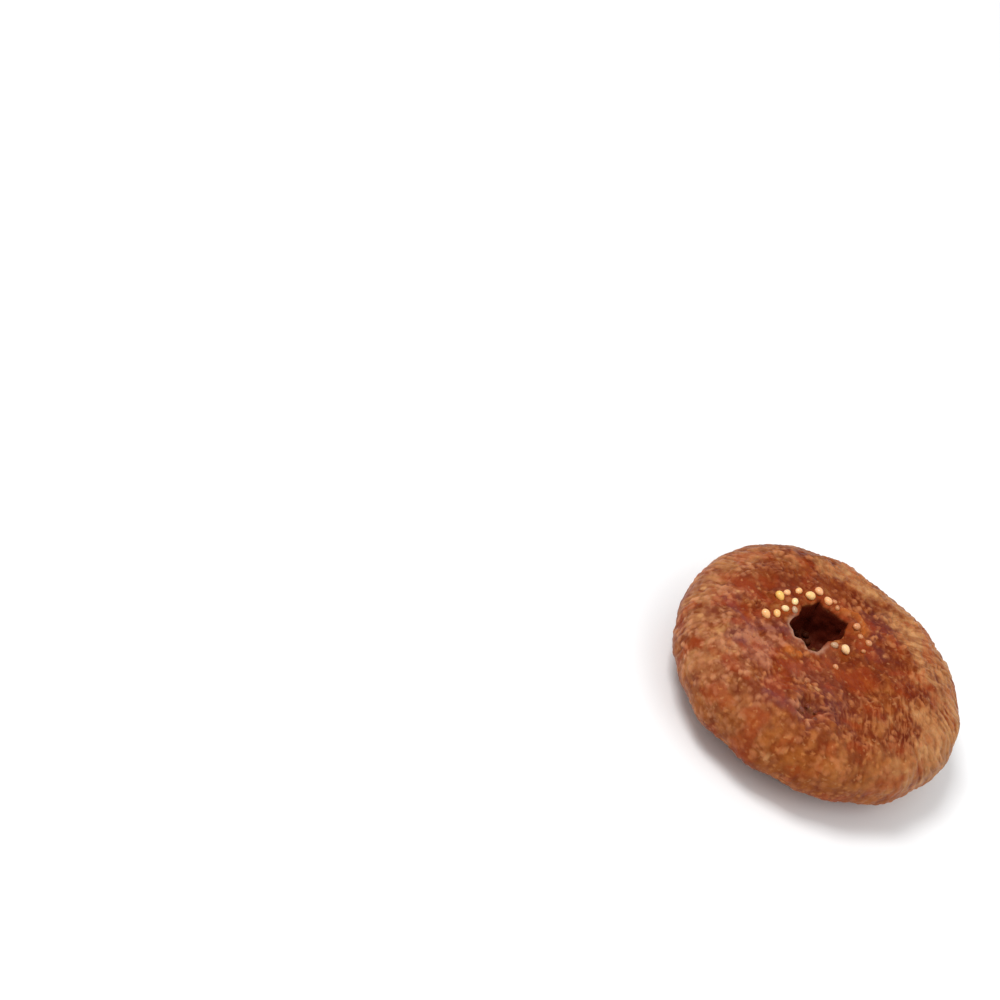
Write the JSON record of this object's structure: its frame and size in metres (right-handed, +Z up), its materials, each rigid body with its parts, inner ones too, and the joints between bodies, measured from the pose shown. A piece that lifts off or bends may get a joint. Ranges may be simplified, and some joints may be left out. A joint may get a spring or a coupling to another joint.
{
  "type": "dried fig",
  "caption": "Dried fig pressed into a puffy disc with a wrinkled, folded skin, a torn hole ringed with pale seeds, a puckered eye and a bent stub of the stalk underneath.",
  "frame": {"origin": "on the resting surface, under the middle of the fig's outline", "axes": "+Z up, out of the face with the torn hole; +X along the longest diameter; the puckered eye lies towards -Y and the stalk's stub towards +Y"},
  "size_m": [0.0521, 0.05, 0.0161],
  "materials": {
    "fig_skin": "reddish-brown sticky fruit skin, tan on the rim, softly glossy with fine folds and nubs"
  },
  "bodies": {
    "root": {"dried_fig": "fig_skin"}
  },
  "joints": []
}
